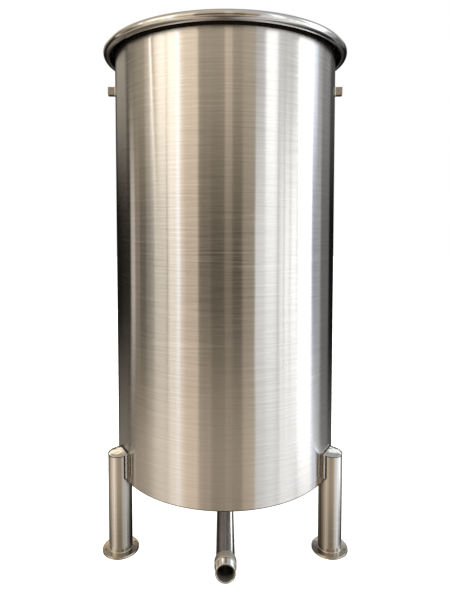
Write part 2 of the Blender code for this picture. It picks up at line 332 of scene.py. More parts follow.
def satin_plate(name, colour, roughness):
    """Satin stainless bar or plate: a fine grit finish."""
    material, tree, place = patterned_material(name)
    # Grit marks under 0.2 mm, drawn 3 mm across.
    grit = add_node(tree, "TexNoise", None,
                    {"Vector": place, "Scale": 1 / 0.003, "Detail": 3.0, "Roughness": 0.6})
    gritty = add_node(tree, "Bump", None,
                      {"Strength": 0.3, "Distance": 0.0002, "Height": grit.outputs["Fac"]})
    dull = add_node(tree, "MapRange", None,
                    {"Value": grit.outputs["Fac"], **NOISE_SPAN,
                     "To Min": roughness - 0.05, "To Max": roughness + 0.07})
    speckle_share = 0.25
    speckle = add_node(tree, "Mix", {"data_type": "RGBA", "blend_type": "MULTIPLY"},
                       {0: speckle_share, 6: linear(colour), 7: grit.outputs["Color"]})
    return finish_material(material, {
        "Base Color": speckle.outputs[2], "Metallic": 1.0, "Roughness": dull.outputs["Result"],
        "Normal": gritty.outputs["Normal"]})


def weld_metal(name, bright, tinted):
    """Weld metal between two tones, with a skin of scale that makes it only partly metallic."""
    material, tree, place = patterned_material(name)
    # Patches of heat tint about 6 mm across.
    heat = add_node(tree, "TexNoise", None,
                    {"Vector": place, "Scale": 1 / 0.006, "Detail": 2.0}).outputs["Fac"]
    tint = add_node(tree, "Mix", {"data_type": "RGBA"},
                    {0: heat, 6: linear(bright), 7: linear(tinted)})
    dull = add_node(tree, "MapRange", None,
                    {"Value": heat, **NOISE_SPAN, "To Min": 0.15, "To Max": 0.30})
    return finish_material(material, {
        "Base Color": tint.outputs[2], "Metallic": 0.75, "Roughness": dull.outputs["Result"]})


def polar(radius, azimuth, height=0.0):
    """A point at a distance from the tank's axis, its azimuth counted from +X."""
    return Vector((radius * math.cos(azimuth), radius * math.sin(azimuth), height))


def arc(centre, radius, start, end, steps):
    """Points along an arc of a (radius, height) outline, its angles in degrees."""
    points = []
    for i in range(steps + 1):
        angle = math.radians(start + (end - start) * i / steps)
        points.append((centre[0] + radius * math.cos(angle), centre[1] + radius * math.sin(angle)))
    return points


def round_outline(centre, radius):
    """A small round outline in 12 points."""
    return arc(centre, radius, 0, 330, 11)


def spun(outline, steps):
    """Spin a closed (radius, height) outline round the Z axis, its poles closed."""
    bm = bmesh.new()
    corners = [bm.verts.new((radius, 0, height)) for radius, height in outline]
    pairs = zip(corners, corners[1:] + corners[:1])
    edges = [bm.edges.new(pair) for pair in pairs if pair[0].co.x or pair[1].co.x]
    bmesh.ops.spin(bm, geom=corners + edges, cent=(0, 0, 0), axis=(0, 0, 1), angle=2 * math.pi,
                   steps=steps, use_merge=True)
    bmesh.ops.remove_doubles(bm, verts=bm.verts, dist=1e-6)
    bmesh.ops.recalc_face_normals(bm, faces=bm.faces)
    return bm


def add_object(name, data):
    """Put a new object in the scene."""
    added = bpy.data.objects.new(name, data)
    bpy.context.scene.collection.objects.link(added)
    return added


def add_mesh(name, bm):
    """Put a bmesh in the scene as an object."""
    mesh = bpy.data.meshes.new(name)
    bm.to_mesh(mesh)
    bm.free()
    return add_object(name, mesh)


def finish_piece(name, bm, look, nodes=(), sharp=35):
    """Make a bmesh a piece of the tank that takes the place of its CAD nodes."""
    piece = add_mesh(name, bm)
    piece.data.materials.append(look)
    piece.data.shade_smooth()
    piece.data.set_sharp_from_angle(angle=math.radians(sharp))
    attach(piece, "root")
    if nodes:
        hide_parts(*nodes)
    return piece


def settle(piece, sharp=35):
    """Keep a piece's modified mesh as its own, with its sharp corners marked."""
    graph = bpy.context.evaluated_depsgraph_get()
    settled = bpy.data.meshes.new_from_object(piece.evaluated_get(graph))
    piece.modifiers.clear()
    piece.data = settled
    settled.shade_smooth()
    settled.set_sharp_from_angle(angle=math.radians(sharp))


def thicken(piece, thickness):
    """Give an open surface its wall, inwards from its faces."""
    wall = piece.modifiers.new("wall", "SOLIDIFY")
    wall.thickness = thickness
    wall.offset = -1
    wall.use_even_offset = True
    settle(piece)


def ease_edges(piece, width, segments=3, angle=40):
    """Round a piece's edges."""
    bevel = piece.modifiers.new("eased_edges", "BEVEL")
    bevel.width = width
    bevel.segments = segments
    bevel.limit_method = "ANGLE"
    bevel.angle_limit = math.radians(angle)


def carve(piece, cutter_bm):
    """Cut a shape out of a piece, and keep the result as its mesh."""
    cutter = add_mesh("cutter", cutter_bm)
    modifier = piece.modifiers.new("carved", "BOOLEAN")
    modifier.operation = "DIFFERENCE"
    modifier.object = cutter
    settle(piece)
    bpy.data.objects.remove(cutter)


def make_wall(look):
    """The shell: a straight sheet wall with eased lower edges."""
    outer = SHELL_RADIUS
    inner = SHELL_RADIUS - SHEET
    ease = SHEET * 0.3
    top = shell_high.z + GAP
    outline = [(outer, top), (outer, SHELL_BOTTOM + ease), (outer - ease, SHELL_BOTTOM),
               (inner + ease, SHELL_BOTTOM), (inner, SHELL_BOTTOM + ease), (inner, top)]
    finish_piece("tank_wall", spun(outline, TANK_STEPS), look, ["tank_shell"])


def rim_face(depth):
    """One face of the rim's sheet: up the wall, out over a flat land, and round the curl."""
    bend_centre = (SHELL_RADIUS + WALL_BEND_RADIUS, RIM_TOP - SHEET - WALL_BEND_RADIUS)
    curl_centre = (RIM_RADIUS - BEAD_RADIUS, RIM_TOP - BEAD_RADIUS)
    bend = arc(bend_centre, WALL_BEND_RADIUS + depth, 180, 90, 8)
    curl = arc(curl_centre, BEAD_RADIUS - SHEET + depth, 90, -112.5, 27)
    return [(SHELL_RADIUS - depth, shell_high.z + GAP)] + bend + curl


def make_rim(look):
    """The rolled rim, open underneath."""
    bm = spun(rim_face(SHEET) + rim_face(0.0)[::-1], TANK_STEPS)
    finish_piece("rolled_rim", bm, look, ["tank_rim"], sharp=50)


def bottom_height(radius):
    """Height of the conical bottom's underside at a distance from the axis."""
    edge = SHELL_RADIUS - SHEET - GAP
    return SHELL_BOTTOM - (edge - radius) * math.tan(BOTTOM_SLOPE)


def make_bottom(look):
    """The shallow cone that closes the shell, with its drain hole."""
    edge = SHELL_RADIUS - SHEET
    hole = PIPE_RADIUS
    rise = SHEET / math.cos(BOTTOM_SLOPE)
    ease = SHEET * 0.4
    outline = [(edge, bottom_height(edge) + rise), (edge, bottom_height(edge)),
               (hole, bottom_height(hole)), (hole, bottom_height(hole) + rise - ease),
               (hole + ease, bottom_height(hole + ease) + rise)]
    bm = spun(outline, TANK_STEPS)
    finish_piece("conical_bottom", bm, look, ["tank_bottom"], sharp=20)


def leg_place(azimuth):
    """Places a shape made at the origin, +X outwards, on a leg's axis."""
    return Matrix.Translation(polar(LEG_AXIS_RADIUS, azimuth)) @ Matrix.Rotation(azimuth, 4, "Z")


def corner_angle():
    """Angle round a leg's axis, from straight outwards, where the tube meets the shell."""
    squares = LEG_AXIS_RADIUS ** 2 + LEG_RADIUS ** 2 - SHELL_RADIUS ** 2
    return math.pi - math.acos(squares / (2 * LEG_AXIS_RADIUS * LEG_RADIUS))


def cap_height(offset):
    """Height of a leg's sloping cap at a distance outwards from the leg's own axis."""
    slope = CAP_DROP / (2 * LEG_RADIUS)
    return CAP_HIGH - slope * (offset + LEG_RADIUS)


def leg_circle(bm, corner):
    """A circle round the leg's axis with corners exactly where the tube meets the shell."""
    ring = bmesh.ops.create_circle(bm, segments=LEG_STEPS, radius=LEG_RADIUS)["verts"]
    half_step = math.pi / LEG_STEPS
    for vertex in ring:
        angle = math.atan2(vertex.co.y, vertex.co.x)
        if abs(abs(angle) - corner) <= half_step:
            side = math.copysign(corner, angle)
            vertex.co = polar(LEG_RADIUS, side)
    return ring


def lift(bm, edges):
    """Extrude edges on the spot, and return the new corners and edges."""
    made = bmesh.ops.extrude_edge_only(bm, edges=edges)["geom"]
    corners = [item for item in made if isinstance(item, bmesh.types.BMVert)]
    new_edges = [item for item in made if isinstance(item, bmesh.types.BMEdge)
                 and item.verts[0] in corners and item.verts[1] in corners]
    return corners, new_edges


def make_leg_tube(side, azimuth, look):
    """A tube that is full below the shell and coped round it above."""
    corner = corner_angle()
    bm = bmesh.new()
    ring = leg_circle(bm, corner)
    for vertex in ring:
        vertex.co.z = FOOT_THICKNESS
    ring_corners, ring_edges = lift(bm, bm.edges[:])
    for vertex in ring_corners:
        distance = math.hypot(LEG_AXIS_RADIUS + vertex.co.x, vertex.co.y)
        vertex.co.z = min(SHELL_BOTTOM, bottom_height(distance)) - GAP
    tolerance = 0.001
    outside = [edge for edge in ring_edges
               if all(abs(math.atan2(v.co.y, v.co.x)) <= corner + tolerance for v in edge.verts)]
    top_corners = lift(bm, outside)[0]
    for vertex in top_corners:
        vertex.co.z = cap_height(vertex.co.x) - CAP_THICKNESS
    bmesh.ops.recalc_face_normals(bm, faces=bm.faces)
    centre = bm.faces[0].calc_center_median()
    if bm.faces[0].normal.dot(Vector((centre.x, centre.y, 0))) < 0:
        bmesh.ops.reverse_faces(bm, faces=bm.faces)
    bmesh.ops.transform(bm, matrix=leg_place(azimuth), verts=bm.verts)
    name = "leg_tube_" + side
    piece = finish_piece("polished_" + name, bm, look, [name])
    thicken(piece, LEG_WALL)


def make_leg_cap(side, azimuth, look):
    """The plate on the coped tube: a little domed, rounded outside, cut away where the shell is."""
    dome = 0.0010
    dome_steps = 6
    edge_width = 0.0105
    edge_depth = 0.0027
    rounding = arc((0, 0), 1, 70, 0, 7)
    start_across, start_up = rounding[0]
    dome_radius = LEG_RADIUS - edge_width * (1 - start_across)
    outline = [(dome_radius * i / dome_steps, dome * (1 - (i / dome_steps) ** 2))
               for i in range(dome_steps)]
    outline += [(LEG_RADIUS - edge_width * (1 - across), edge_depth * (up - start_up))
                for across, up in rounding]
    outline += [(LEG_RADIUS, GAP - CAP_THICKNESS), (0, GAP - CAP_THICKNESS)]
    bm = spun(outline, LEG_STEPS)
    for vertex in bm.verts:
        vertex.co.z += cap_height(vertex.co.x)
    bmesh.ops.transform(bm, matrix=leg_place(azimuth), verts=bm.verts)
    name = "leg_cap_" + side
    piece = finish_piece("polished_" + name, bm, look, [name])
    shell_radius = SHELL_RADIUS + GAP
    shell_height = 0.1
    shell = bmesh.new()
    bmesh.ops.create_cone(shell, cap_ends=True, segments=TANK_STEPS, radius1=shell_radius,
                          radius2=shell_radius, depth=shell_height,
                          matrix=Matrix.Translation((0, 0, CAP_HIGH)))
    carve(piece, shell)


def make_foot(side, azimuth, look):
    """A round flat foot with eased edges and drilled bolt holes."""
    ease = 0.0018
    lower_ease = 0.0006
    outline = ([(0, FOOT_THICKNESS)]
               + arc((FOOT_RADIUS - ease, FOOT_THICKNESS - ease), ease, 90, 0, 6)
               + [(FOOT_RADIUS, lower_ease), (FOOT_RADIUS - lower_ease, 0), (0, 0)])
    bm = spun(outline, LEG_STEPS)
    bmesh.ops.transform(bm, matrix=leg_place(azimuth), verts=bm.verts)
    name = "foot_flange_" + side
    piece = finish_piece("drilled_" + name, bm, look, [name])
    for index in range(BOLT_HOLES):
        turn = azimuth + BOLT_TURNS[side] + index * 2 * math.pi / BOLT_HOLES
        place = polar(LEG_AXIS_RADIUS, azimuth) + polar(BOLT_CIRCLE_RADIUS, turn, FOOT_THICKNESS / 2)
        drill = bmesh.new()
        bmesh.ops.create_cone(drill, cap_ends=True, segments=HOLE_STEPS, radius1=BOLT_HOLE_RADIUS,
                              radius2=BOLT_HOLE_RADIUS, depth=3 * FOOT_THICKNESS,
                              matrix=Matrix.Translation(place))
        carve(piece, drill)


def rippled_bead(radius, length, ripple_spacing, ripple_depth, segments=12):
    """An upright weld bead from z = 0, swollen by its overlapping ripples and rounded at its ends."""
    slices_per_ripple = 4
    fewest_slices = 8
    end_size = 0.3
    slices = max(fewest_slices, int(length / ripple_spacing * slices_per_ripple))
    bm = bmesh.new()
    bmesh.ops.create_circle(bm, segments=segments, radius=radius * end_size)
    edges = bm.edges[:]
    bmesh.ops.contextual_create(bm, geom=edges)
    for index in range(1, slices + 1):
        corners, edges = lift(bm, edges)
        height = length * index / slices
        phase = (height / ripple_spacing) % 1.0
        from_end = min(height, length - height) / radius
        rounding = math.sqrt(1 - (1 - min(1.0, from_end)) ** 2)
        swell = 1 + ripple_depth * (math.sin(math.pi * phase) - 0.5)
        for vertex in corners:
            angle = math.atan2(vertex.co.y, vertex.co.x)
            vertex.co = polar(radius * swell * max(end_size, rounding), angle, height)
    bmesh.ops.contextual_create(bm, geom=edges)
    bmesh.ops.recalc_face_normals(bm, faces=bm.faces)
    return bm


def make_leg_welds(side, azimuth, looks):
    """An upright bead on the tube beside each corner with the shell, on a flat heat-tinted strip."""
    low = SHELL_BOTTOM + 0.012
    from_corner = math.radians(15)
    under_cap = 0.001
    sunk = 0.0005
    bead_radius = 0.0029
    bead_start = 0.003
    ripple_spacing = 0.0066
    ripple_depth = 0.50
    strip_half_width = 0.0067
    strip_flatness = 0.20
    strip_slices_apart = 0.02
    # The tint reaches further out from the shell than towards it.
    strip_shift = 0.0012
    for turn, place in ((-1, "a"), (1, "b")):
        name = "leg_weld_%s_%s" % (side, place)
        angle = turn * (corner_angle() - from_corner)
        top = cap_height(LEG_RADIUS * math.cos(angle)) - under_cap
        root = (leg_place(azimuth) @ Matrix.Rotation(angle, 4, "Z")
                @ Matrix.Translation((LEG_RADIUS - sunk, 0, low)))
        bead = rippled_bead(bead_radius, top - low - bead_start, ripple_spacing, ripple_depth)
        up = Matrix.Translation((0, 0, bead_start))
        bmesh.ops.transform(bead, matrix=root @ up, verts=bead.verts)
        finish_piece("rippled_" + name, bead, looks["weld"], [name], sharp=60)
        strip = rippled_bead(strip_half_width, top - low, strip_slices_apart, 0.0)
        flat = Matrix.Diagonal((strip_flatness, 1, 1, 1))
        outwards = Matrix.Translation((0, -turn * strip_shift, 0))
        bmesh.ops.transform(strip, matrix=root @ outwards @ flat, verts=strip.verts)
        finish_piece("heat_tint_" + name, strip, looks["tint"])


def make_cap_weld(side, azimuth, looks):
    """A bead over a tinted strip along the cap's shell side, and a painted shade ring round its outside.
    """
    bead_radius = CAP_BEADS[side]
    thinnest_strip = 0.0031
    strip_beyond_bead = 0.0010
    strip_radius = max(thinnest_strip, bead_radius + strip_beyond_bead)
    # The outer ring is painted shade: a dark line where the cap's rounded edge meets the tube.
    shade_ring_radius = 0.0011
    ripple_spacing = 0.0044
    stand_off = 0.4
    inner_half = math.asin(LEG_RADIUS * math.sin(corner_angle()) / SHELL_RADIUS)
    outer_half = corner_angle() - 0.05
    shade_ring_path = LEG_RADIUS - 0.0004
    # Each one's name, look, radius, ripple depth and rise, and its arc's centre, radius and half angle
    for name, look, radius, ripple, rise, centre, path, half in (
            ("cap_bead_", "weld", bead_radius, 0.30, 0.0006, -LEG_AXIS_RADIUS, SHELL_RADIUS, inner_half),
            ("cap_tint_", "tint", strip_radius, 0, -0.0004, -LEG_AXIS_RADIUS, SHELL_RADIUS, inner_half),
            ("cap_painted_shade_", "tint", shade_ring_radius, 0, -0.0031, 0, shade_ring_path, outer_half)):
        length = 2 * half * path
        bm = rippled_bead(radius, length, ripple_spacing, ripple)
        for vertex in bm.verts:
            turn = half * (2 * vertex.co.z / length - 1)
            reach = path + radius * stand_off + vertex.co.x
            offset = centre + reach * math.cos(turn)
            height = cap_height(offset) + vertex.co.y + rise
            vertex.co = Vector((offset, reach * math.sin(turn), height))
        bmesh.ops.recalc_face_normals(bm, faces=bm.faces)
        bmesh.ops.transform(bm, matrix=leg_place(azimuth), verts=bm.verts)
        finish_piece(name + side, bm, looks[look], sharp=60)


def make_foot_weld(side, azimuth, look):
    """A small bright bead round the tube's foot."""
    radius = 0.0014
    lifted = 0.0002
    bm = spun(round_outline((LEG_RADIUS, FOOT_THICKNESS + lifted), radius), LEG_STEPS)
    bmesh.ops.transform(bm, matrix=leg_place(azimuth), verts=bm.verts)
    finish_piece("foot_weld_" + side, bm, look, sharp=60)


def make_leg(side, azimuth, looks):
    """One leg: tube, cap, foot and weld beads."""
    make_leg_tube(side, azimuth, looks["upright"])
    make_leg_cap(side, azimuth, looks["mirror"])
    make_foot(side, azimuth, looks["flange"])
    make_leg_welds(side, azimuth, looks)
    make_cap_weld(side, azimuth, looks)
    make_foot_weld(side, azimuth, looks["weld"])


def make_dark_rings(look):
    """A dark strip of painted shade under the rolled rim, and a dark ring at the shell's lower edge."""
    below_top = 0.030
    proud = 0.0004
    behind = 0.0006
    low = RIM_TOP - below_top
    face = SHELL_RADIUS + proud
    back = SHELL_RADIUS - behind
    under_rim = [(face, low), (face, shell_high.z), (back, shell_high.z), (back, low)]
    # The strip is painted shade: the rim's shade on the top of the shell, in the dark tint look.
    finish_piece("painted_shade_under_rim", spun(under_rim, TANK_STEPS), look)
    radius = 0.0011
    sunk = 0.0004
    above_edge = 0.001
    lower = round_outline((SHELL_RADIUS - sunk, SHELL_BOTTOM + above_edge), radius)
    finish_piece("lower_edge_dark_ring", spun(lower, TANK_STEPS), look, sharp=60)


def make_lug(side, sign, looks):
    """A square bar with eased edges that stands out from the shell, with a weld round its root."""
    azimuth = -math.pi / 2 + sign * LUG_FROM_FRONT
    root = SHELL_RADIUS - SHEET / 2
    name = "lug_" + side
    for reach, size, ease, title, look, slot, nodes in (
            (LUG_REACH, LUG_SIZE, LUG_EASE, "square_" + name, "satin", "satin_lug", [name]),
            (LUG_WELD_REACH, LUG_WELD_SIZE, LUG_WELD_EASE, "root_weld_" + name, "weld", "weld_bead", ())):
        bm = bmesh.new()
        place = (Matrix.Translation(((reach + root) / 2, 0, LUG_HEIGHT))
                 @ Matrix.Diagonal((reach - root, size, size, 1)))
        bmesh.ops.create_cube(bm, size=1, matrix=place)
        bmesh.ops.transform(bm, matrix=Matrix.Rotation(azimuth, 4, "Z"), verts=bm.verts)
        piece = finish_piece(title, bm, looks[look], nodes)
        ease_edges(piece, ease)


def ring_outline(outer, inner, low, high, ease):
    """A ring's outline with eased edges."""
    return [(outer - ease, high), (outer, high - ease), (outer, low + ease), (outer - ease, low),
            (inner + ease, low), (inner, low + ease), (inner, high - ease), (inner + ease, high)]


def make_ring(name, look, node, outer, inner, box, ease, sharp=35):
    """A ring that lies along the outlet's axis, as long as its CAD node's box."""
    low, high = box
    bm = spun(ring_outline(outer, inner, -high.y, -low.y, ease), PIPE_STEPS)
    place = Matrix.Translation((0, 0, PIPE_HEIGHT)) @ Matrix.Rotation(math.pi / 2, 4, "X")
    bmesh.ops.transform(bm, matrix=place, verts=bm.verts)
    finish_piece(name, bm, look, [node], sharp)


def make_elbow(look):
    """The bend from the bottom's centre to the front."""
    bm = bmesh.new()
    bmesh.ops.create_circle(bm, segments=PIPE_STEPS, radius=PIPE_RADIUS)
    bmesh.ops.translate(bm, verts=bm.verts, vec=(0, 0, PIPE_HEIGHT + ELBOW_RADIUS))
    centre = (0, -ELBOW_RADIUS, PIPE_HEIGHT + ELBOW_RADIUS)
    bmesh.ops.spin(bm, geom=bm.verts[:] + bm.edges[:], cent=centre, axis=(1, 0, 0),
                   angle=-math.pi / 2, steps=ELBOW_STEPS)
    bmesh.ops.recalc_face_normals(bm, faces=bm.faces)
    piece = finish_piece("polished_elbow", bm, look, ["drain_elbow"])
    thicken(piece, PIPE_WALL)


def make_outlet(looks):
    """Neck, elbow, pipe, collar and nipple."""
    bore = PIPE_RADIUS - PIPE_WALL
    neck = spun(ring_outline(PIPE_RADIUS, bore, neck_low.z, neck_high.z, GAP), PIPE_STEPS)
    # Near the tank's axis, the neck takes the upright tube's painted shade all over.
    finish_piece("polished_neck", neck, looks["upright"], ["drain_neck"])
    make_elbow(looks["bend"])
    make_ring("polished_drain_pipe", looks["level"], "drain_pipe",
              PIPE_RADIUS, bore, (pipe_low, pipe_high), GAP)
    make_ring("satin_collar", looks["collar"], "outlet_collar",
              COLLAR_RADIUS, PIPE_RADIUS + GAP, (collar_low, collar_high), COLLAR_EASE, 25)
    make_ring("open_nipple", looks["nipple"], "outlet_nipple",
              NIPPLE_RADIUS, NIPPLE_RADIUS - NIPPLE_WALL, (nipple_low, nipple_high), NIPPLE_EASE, 25)
    seam = bmesh.new()
    length = collar_low.y - nipple_low.y - 2 * NIPPLE_EASE
    width = 0.0026
    height = 0.0008
    off_centre = 0.0012
    bmesh.ops.create_cube(seam, size=1, matrix=Matrix.Diagonal((width, length, height, 1)))
    place = (off_centre, collar_low.y - length / 2, PIPE_HEIGHT + NIPPLE_RADIUS)
    bmesh.ops.translate(seam, verts=seam.verts, vec=place)
    finish_piece("nipple_seam", seam, looks["tint"])


# The studio's upright soft lights. Each has its azimuths from the front in degrees, + to the right,
# the softness of its sides in degrees, its colour, and its strength below, level with and above
# the eye.
WARM = "#ffe8d0"
CREAM = "#fff5e6"
WHITE = "#ffffff"
COOL = "#e4eeff"
SOFT_LIGHTS = (
    (-150, -119, 3.0, CREAM, 0.10, 0.00, 0.28),
    (-111.5, -104, 2.0, CREAM, 0.04, 0.57, 0.00),
    (-104, -96, 2.0, WARM, 0.03, 0.24, 0.00),
    (-96, -86, 3.0, CREAM, 0.00, 0.08, 0.00),
    (-86, -80, 3.0, CREAM, 0.12, 0.22, 0.34),
    (-80, -75, 1.5, CREAM, 0.20, 0.28, 0.75),
    (-75, -69.5, 1.5, CREAM, 0.34, 0.64, 0.86),
    (-69.5, -59.9, 1.0, CREAM, 0.36, 0.66, 1.12),
    (-58.9, -49, 1.2, CREAM, 0.54, 0.90, 1.20),
    (-49, -45, 2.2, WHITE, 0.66, 1.08, 1.15),
    (-45, -40, 1.2, WARM, 0.45, 0.68, 0.62),
    (-40, -26.5, 1.5, WARM, 0.36, 0.51, 0.55),
    (-26.5, -14, 3.0, WARM, 0.10, 0.07, 0.00),
    (-0.5, 7, 0.8, WARM, 0.03, 0.10, 0.28),
    (17, 29.5, 3.0, WARM, 0.16, 0.24, 0.06),
    (29.5, 40, 1.5, WHITE, 0.36, 0.84, 0.12),
    (40, 53, 2.0, WHITE, 0.48, 1.06, 1.05),
    (53.8, 56.5, 0.8, WHITE, 0.42, 0.94, 0.40),
    (56.5, 59.8, 0.8, WHITE, 0.80, 1.15, 0.26),
    (60.4, 67.0, 0.8, WHITE, 0.74, 1.26, 0.24),
    (67.6, 76, 1.0, WHITE, 0.82, 1.32, 0.24),
    (76.7, 98, 1.2, WHITE, 1.35, 1.40, 1.25),
    (98, 106, 2.0, COOL, 0.72, 0.38, 1.15),
    (106, 114, 2.0, WHITE, 0.50, 0.38, 0.36),
    (114, 135, 4.0, WHITE, 0.12, 0.14, 0.20),
)
# A narrow light leans to the left, with a dark strip on its right that takes light away. Their
# azimuths hold level with the eye, and fall by LEAN degrees per unit of the elevation's sine.
LEAN = 28.7
LEANING_LIGHTS = (
    (-70.8, -69.0, 0.8, WHITE, 0.00, 0.12, 1.25),
    (-68.6, -65.4, 1.4, WHITE, 0.00, -0.14, -0.64),
)
# The lights' strength changes over between these sines of the elevation, and ends at their tops.
BELOW = (-0.38, -0.16)
ABOVE = (0.04, 0.26)
TOPS = (0.55, 0.78)
# The room's own colour, up from the floor: (sine of elevation, colour)
ROOM = ((-1.0, "#4a4238"), (-0.76, "#5f5649"), (-0.54, "#7f7262"), (-0.46, "#dfcfb8"),
        (-0.34, "#897d6d"), (-0.24, "#312c25"), (0.03, "#312c25"), (0.18, "#9c8f7a"),
        (0.5, "#c3b6a2"), (1.0, "#c8beae"))
# Behind the tank the room is in shade, apart from its ceiling. Its shades are shares of its colour.
BEHIND = (90, 120)
BEHIND_SHADE = 0.25
CEILING = (0.34, 0.40)
CEILING_SIDES = (124, 150)
CEILING_GLOW = 2.4
HIGH_CEILING = (0.47, 0.55)
HIGH_CEILING_SHADE = 0.75
FLOOR_BEHIND = (-0.80, -0.62)
FLOOR_BEHIND_SHADE = 0.7
# On its right the room is a cooler grey.
RIGHT = (23, 40)
RIGHT_TINT = (0.84, 1.0, 1.30)
# Far to the right the floor lies in shade.
RIGHT_SHADE = (68, 82)
RIGHT_FLOOR = (-0.51, -0.45)
RIGHT_FLOOR_SHADE = 0.22
# Cards near the outlet: name, place, target, width, height, watts
CARDS = (
    ("pipe_card", (0.180, -0.025, 0.118), (0.0, -0.300, 0.115), 0.14, 0.050, 0.0076),
    ("nipple_card", (-0.140, -0.356, 0.392), (-0.006, -0.402, 0.135), 0.03, 0.09, 0.0007),
)
CARD_SPREAD = math.radians(60)
# Folds in the lights' cloth, about a degree wide
FOLDS_PER_DEGREE = 0.8
FOLD_LOW = 0.84
FOLD_HIGH = 1.16
# The plain floor just under the feet, and the light over it
FLOOR_REACH = 12
FLOOR_DROP = 0.0005
TOP_LIGHT_SIZE = 4.0
TOP_LIGHT_HEIGHT = 4.5
TOP_LIGHT_WATTS = 220


def room_colour(tree, sine, degrees):
    """The room's own colour: shaded behind the tank, and cooler on its right."""
    height = add_node(tree, "MapRange", None, {"Value": sine, "From Min": -1.0, "From Max": 1.0})
    room = add_node(tree, "ValToRGB", None, {"Fac": height.outputs["Result"]})
    elements = room.color_ramp.elements
    elements.remove(elements[1])
    elements[0].position = 0.0
    elements[0].color = linear(ROOM[0][1])
    for stop, colour in ROOM[1:]:
        elements.new((stop + 1) / 2).color = linear(colour)
    side = add_node(tree, "Math", {"operation": "ABSOLUTE"}, {0: degrees})
    glow = add_node(tree, "MapRange", SMOOTH,
                    {"Value": side.outputs[0], "From Min": CEILING_SIDES[0],
                     "From Max": CEILING_SIDES[1], "To Min": BEHIND_SHADE, "To Max": CEILING_GLOW})
    high = add_node(tree, "MapRange", SMOOTH,
                    {"Value": sine, "From Min": HIGH_CEILING[0], "From Max": HIGH_CEILING[1],
                     "To Min": glow.outputs["Result"], "To Max": HIGH_CEILING_SHADE})
    low = add_node(tree, "MapRange", SMOOTH,
                   {"Value": sine, "From Min": FLOOR_BEHIND[0], "From Max": FLOOR_BEHIND[1],
                    "To Min": FLOOR_BEHIND_SHADE, "To Max": BEHIND_SHADE})
    shade = add_node(tree, "MapRange", SMOOTH,
                     {"Value": sine, "From Min": CEILING[0], "From Max": CEILING[1],
                      "To Min": low.outputs["Result"], "To Max": high.outputs["Result"]})
    behind = add_node(tree, "MapRange", SMOOTH,
                      {"Value": side.outputs[0], "From Min": BEHIND[0], "From Max": BEHIND[1],
                       "To Min": 1.0, "To Max": shade.outputs["Result"]})
    right = add_node(tree, "MapRange", SMOOTH,
                     {"Value": degrees, "From Min": RIGHT[0], "From Max": RIGHT[1]})
    tint = add_node(tree, "Mix", {"data_type": "VECTOR"},
                    {0: right.outputs["Result"], 4: (1.0, 1.0, 1.0), 5: RIGHT_TINT})
    tinted = add_node(tree, "VectorMath", {"operation": "MULTIPLY"},
                      {0: room.outputs["Color"], 1: tint.outputs[1]})
    return add_node(tree, "VectorMath", {"operation": "SCALE"},
                    {0: tinted.outputs[0], "Scale": behind.outputs["Result"]}).outputs[0]


def soft_lights(tree, sine, degrees):
    """The sum of the upright and the leaning lights, before their tops end them."""
    leaned = add_node(tree, "Math", {"operation": "MULTIPLY_ADD"}, {0: sine, 1: LEAN, 2: degrees})
    lights = (0.0, 0.0, 0.0)
    for turned, light in ([(degrees, light) for light in SOFT_LIGHTS]
                          + [(leaned.outputs[0], light) for light in LEANING_LIGHTS]):
        start, end, soft, colour, below, level, above = light
        off_centre = add_node(tree, "Math", {"operation": "SUBTRACT"},
                              {0: turned, 1: (start + end) / 2})
        away = add_node(tree, "Math", {"operation": "ABSOLUTE"}, {0: off_centre.outputs[0]})
        half = (end - start) / 2
        across = add_node(tree, "MapRange", SMOOTH,
                          {"Value": away.outputs[0], "From Min": half + soft / 2,
                           "From Max": half - soft / 2})
        lower = add_node(tree, "MapRange", SMOOTH,
                         {"Value": sine, "From Min": BELOW[0], "From Max": BELOW[1],
                          "To Min": below, "To Max": level})
        upper = add_node(tree, "MapRange", SMOOTH,
                         {"Value": sine, "From Min": ABOVE[0], "From Max": ABOVE[1],
                          "To Max": above - level})
        upright = add_node(tree, "Math", {"operation": "ADD"},
                           {0: lower.outputs["Result"], 1: upper.outputs["Result"]})
        shape = add_node(tree, "Math", {"operation": "MULTIPLY"},
                         {0: across.outputs["Result"], 1: upright.outputs[0]})
        lights = add_node(tree, "VectorMath", {"operation": "MULTIPLY_ADD"},
                          {0: shape.outputs[0], 1: linear(colour)[:3], 2: lights}).outputs[0]
    return lights


def floor_shade(tree, sine, degrees):
    """The shade on the floor far to the right, as a share of the light."""
    shade = add_node(tree, "MapRange", SMOOTH,
                     {"Value": sine, "From Min": RIGHT_FLOOR[0], "From Max": RIGHT_FLOOR[1],
                      "To Min": RIGHT_FLOOR_SHADE})
    return add_node(tree, "MapRange", SMOOTH,
                    {"Value": degrees, "From Min": RIGHT_SHADE[0], "From Max": RIGHT_SHADE[1],
                     "To Min": 1.0, "To Max": shade.outputs["Result"]}).outputs["Result"]


